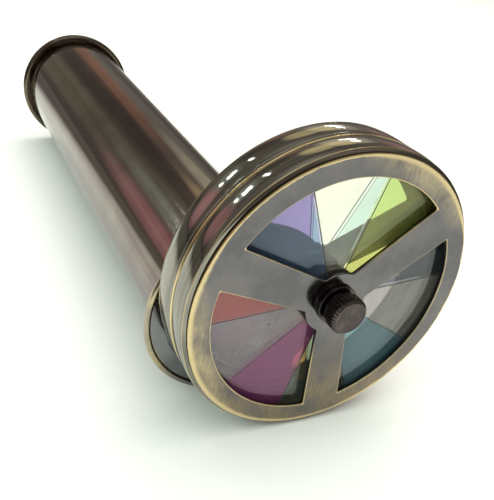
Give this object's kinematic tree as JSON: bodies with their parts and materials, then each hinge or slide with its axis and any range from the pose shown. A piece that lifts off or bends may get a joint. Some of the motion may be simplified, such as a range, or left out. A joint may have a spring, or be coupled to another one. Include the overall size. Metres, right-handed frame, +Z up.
{
  "type": "wheel kaleidoscope",
  "caption": "Hand held kaleidoscope: a brass barrel with a mirror prism looks through two stained glass wheels that turn on one axle.",
  "frame": {"origin": "bottom centre of the bounding box, on the surface that it lies on", "axes": "+Z up as it rests on its rims, +Y from the wheels to the eyepiece along the length, +X to the right seen from the wheels"},
  "size_m": [0.072, 0.19, 0.0708],
  "materials": {
    "bare_brass": "plain turned brass",
    "card": "black card tube",
    "clear_glass": "clear polished glass",
    "glass_amber": "transparent amber glass",
    "glass_blue": "transparent mid blue glass",
    "glass_clear": "clear glass with a faint cream cast",
    "glass_cream": "transparent cream glass",
    "glass_lavender": "clear glass with a lavender grey cast",
    "glass_lime": "transparent yellow green glass",
    "glass_magenta": "transparent magenta glass",
    "glass_mint": "transparent mint green glass",
    "glass_pink": "transparent pink glass",
    "glass_rose": "transparent rose red glass",
    "glass_sage": "transparent grey green glass",
    "glass_sky": "transparent light blue glass",
    "glass_slate": "transparent slate blue glass",
    "glass_smoke": "clear glass with soft smoky streaks",
    "glass_violet": "transparent violet glass",
    "knob_brass": "knurled brass under a near black patina",
    "mirror": "front surface mirror glass",
    "patina_brass": "polished brass under a dark bronze patina, glossy, with streaks",
    "spring_steel": "blackened spring steel",
    "worn_plate": "satin grey brown patina, worn to bright brass along edges"
  },
  "bodies": {
    "root": {"axle_stud": "knob_brass", "barrel_tube": "patina_brass", "eye_lens": "clear_glass", "eyepiece_cap": "patina_brass", "flange_disc": "patina_brass", "front_washer": "knob_brass", "front_window_glass": "clear_glass", "left_mirror": "mirror", "lens_retaining_ring": "bare_brass", "lens_seat": "bare_brass", "lock_washer": "spring_steel", "lower_mirror": "mirror", "mirror_sleeve": "card", "prism_end_ring": "bare_brass", "right_mirror": "mirror", "spacer_washer": "bare_brass", "window_retaining_ring": "bare_brass"},
    "front_wheel": {"front_glass_blue": "glass_blue", "front_glass_clear": "glass_clear", "front_glass_lavender": "glass_lavender", "front_glass_lime": "glass_lime", "front_glass_magenta": "glass_magenta", "front_glass_ring": "bare_brass", "front_glass_rose": "glass_rose", "front_glass_sage": "glass_sage", "front_glass_sky": "glass_sky", "front_glass_slate": "glass_slate", "front_glass_smoke": "glass_smoke", "front_hub_bush": "bare_brass", "front_hub_washer": "bare_brass", "front_rim": "patina_brass", "front_spoke_plate": "worn_plate"},
    "rear_wheel": {"rear_glass_amber": "glass_amber", "rear_glass_blue": "glass_blue", "rear_glass_clear": "glass_clear", "rear_glass_cream": "glass_cream", "rear_glass_mint": "glass_mint", "rear_glass_pink": "glass_pink", "rear_glass_ring": "bare_brass", "rear_glass_sage": "glass_sage", "rear_glass_sky": "glass_sky", "rear_glass_smoke": "glass_smoke", "rear_glass_violet": "glass_violet", "rear_hub_bush": "bare_brass", "rear_hub_washer": "bare_brass", "rear_rim": "patina_brass", "rear_spoke_plate": "worn_plate"},
    "thumb_nut": {"thumb_nut": "knob_brass"}
  },
  "joints": [
    {"name": "front_wheel_spin", "type": "hinge", "parent": "root", "child": "front_wheel", "pos_m": [0.00064, -0.08514, 0.03544], "axis": [0, 0.9999, -0.0121], "continuous": true},
    {"name": "rear_wheel_spin", "type": "hinge", "parent": "root", "child": "rear_wheel", "pos_m": [0.00064, -0.07719, 0.03534], "axis": [0, 0.9999, -0.0121], "continuous": true},
    {"name": "thumb_nut_turn", "type": "hinge", "parent": "root", "child": "thumb_nut", "pos_m": [0.00064, -0.09287, 0.03553], "axis": [0, 0.9999, -0.0121], "continuous": true}
  ]
}
